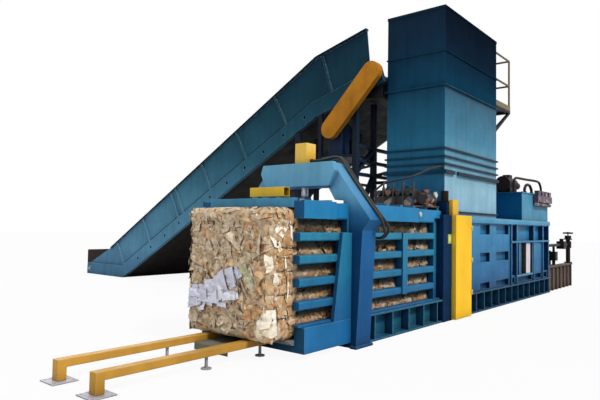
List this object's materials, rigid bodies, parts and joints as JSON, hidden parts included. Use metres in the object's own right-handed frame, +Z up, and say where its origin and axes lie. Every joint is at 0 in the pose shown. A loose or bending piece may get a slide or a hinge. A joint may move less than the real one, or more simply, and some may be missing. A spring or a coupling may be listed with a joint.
{
  "type": "recycling baler",
  "caption": "Horizontal automatic baler with feed hopper, inclined belt conveyor, wire tying unit, clamp portal and bale rails, a tied bale leaving the mouth.",
  "frame": {"origin": "floor point under the portal frame, on the middle plane of the bale channel", "axes": "+X along the bale channel from the mouth towards the main cylinder, +Y across towards the conveyor, +Z up"},
  "size_m": [11.271, 9.4052, 4.372],
  "materials": {
    "blue": "satin medium blue paint",
    "dark_blue": "satin dark blue paint",
    "yellow": "satin signal yellow paint",
    "orange": "worn ochre orange paint",
    "brown": "matt red brown primer",
    "beige": "satin beige paint",
    "steel": "bare worn steel",
    "grey": "grey paint",
    "black": "satin black paint",
    "rubber": "matt black rubber",
    "board": null
  },
  "bodies": {
    "frame": {"base_frame": "blue", "channel_floor": "steel", "channel_wall_near": "blue", "channel_wall_far": "blue", "channel_roof": "blue", "portal_frame": "blue", "clamp_cylinder": "black", "cylinder_cover": "yellow", "portal_hoses": "rubber", "tying_frame": "dark_blue", "guard_hinges": "steel", "wire_box": "yellow", "wire_guide_bar": "steel", "twister_motor": "black", "needle_frame": "steel", "press_wall_near": "blue", "press_wall_far": "blue", "press_deck": "blue", "press_rear": "blue", "shear_knife": "steel", "main_cylinder": "dark_blue", "rear_frame": "brown", "rear_valves": "black", "oil_tank": "blue", "pump_motors": "grey", "tank_pipes": "brown", "tank_valves": "steel", "valve_bank": "black", "bank_hoses": "rubber", "hopper_lower": "blue", "hopper_upper": "dark_blue", "service_platform": "grey", "platform_railing": "beige", "conveyor_side_near": "blue", "conveyor_side_far": "blue", "conveyor_pan": "dark_blue", "conveyor_belt": "rubber", "gear_motor": "blue", "drive_chain": "black", "chain_guard": "orange", "support_truss": "dark_blue", "bale_rails": "yellow", "rail_feet": "grey", "rail_tray": "grey", "bale_front": "board", "bale_next": "board"},
    "ram": {"ram": "steel", "ram_rod": "steel"},
    "clamp": {"clamp_roof": "blue", "roof_cross_bar": "yellow"},
    "clamp_rod": {"clamp_rod": "steel"},
    "needles": {"needle_carriage": "steel"},
    "twister": {"twister_shaft": "steel"},
    "guard": {"wire_guard": "yellow"},
    "hopper_door": {"tower_door": "dark_blue"},
    "belt_head": {"head_shaft": "steel"},
    "belt_tail": {"tail_shaft": "steel"},
    "chain_drive": {"drive_sprocket": "steel"},
    "hand_wheel": {"valve_wheel": "black"}
  },
  "joints": [
    {"name": "ram_slide", "type": "slide", "parent": "frame", "child": "ram", "axis": [-1, 0, 0], "range_m": [0, 2.33]},
    {"name": "clamp_hinge", "type": "hinge", "parent": "frame", "child": "clamp", "pos_m": [0.44, 0, 1.455], "axis": [0, 1, 0], "range_deg": [0, 2.5]},
    {"name": "clamp_rod_slide", "type": "slide", "parent": "frame", "child": "clamp_rod", "axis": [0, 0, 1], "range_m": [0, 0.0235]},
    {"name": "needle_slide", "type": "slide", "parent": "frame", "child": "needles", "axis": [0, -1, 0], "range_m": [0, 1.18]},
    {"name": "twister_spin", "type": "hinge", "parent": "frame", "child": "twister", "pos_m": [2.23, -0.635, 0.8], "axis": [0, 0, 1], "continuous": true},
    {"name": "guard_hinge", "type": "hinge", "parent": "frame", "child": "guard", "pos_m": [2.664, -0.769, 0.7], "axis": [0, 0, 1], "range_deg": [0, 100]},
    {"name": "hopper_door_hinge", "type": "hinge", "parent": "frame", "child": "hopper_door", "pos_m": [4.429, -0.31, 3.7], "axis": [0, 0, -1], "range_deg": [0, 90]},
    {"name": "belt_head_spin", "type": "hinge", "parent": "frame", "child": "belt_head", "pos_m": [3.42, 0.58, 3.445], "axis": [1, 0, 0], "continuous": true},
    {"name": "belt_tail_spin", "type": "hinge", "parent": "frame", "child": "belt_tail", "pos_m": [3.42, 8.35, 0.127], "axis": [1, 0, 0], "continuous": true},
    {"name": "chain_drive_spin", "type": "hinge", "parent": "frame", "child": "chain_drive", "pos_m": [2.1, 1.27, 2.715], "axis": [1, 0, 0], "continuous": true},
    {"name": "hand_wheel_turn", "type": "hinge", "parent": "frame", "child": "hand_wheel", "pos_m": [8.4, -0.6, 1.15], "axis": [0, 0, 1], "range_deg": [0, 270]}
  ],
  "couplings": [
    {"joint": "clamp_rod_slide", "follows": "clamp_hinge", "m_per_rad": 0.53},
    {"joint": "belt_tail_spin", "follows": "belt_head_spin", "ratio": 1},
    {"joint": "chain_drive_spin", "follows": "belt_head_spin", "ratio": 1.6471}
  ]
}
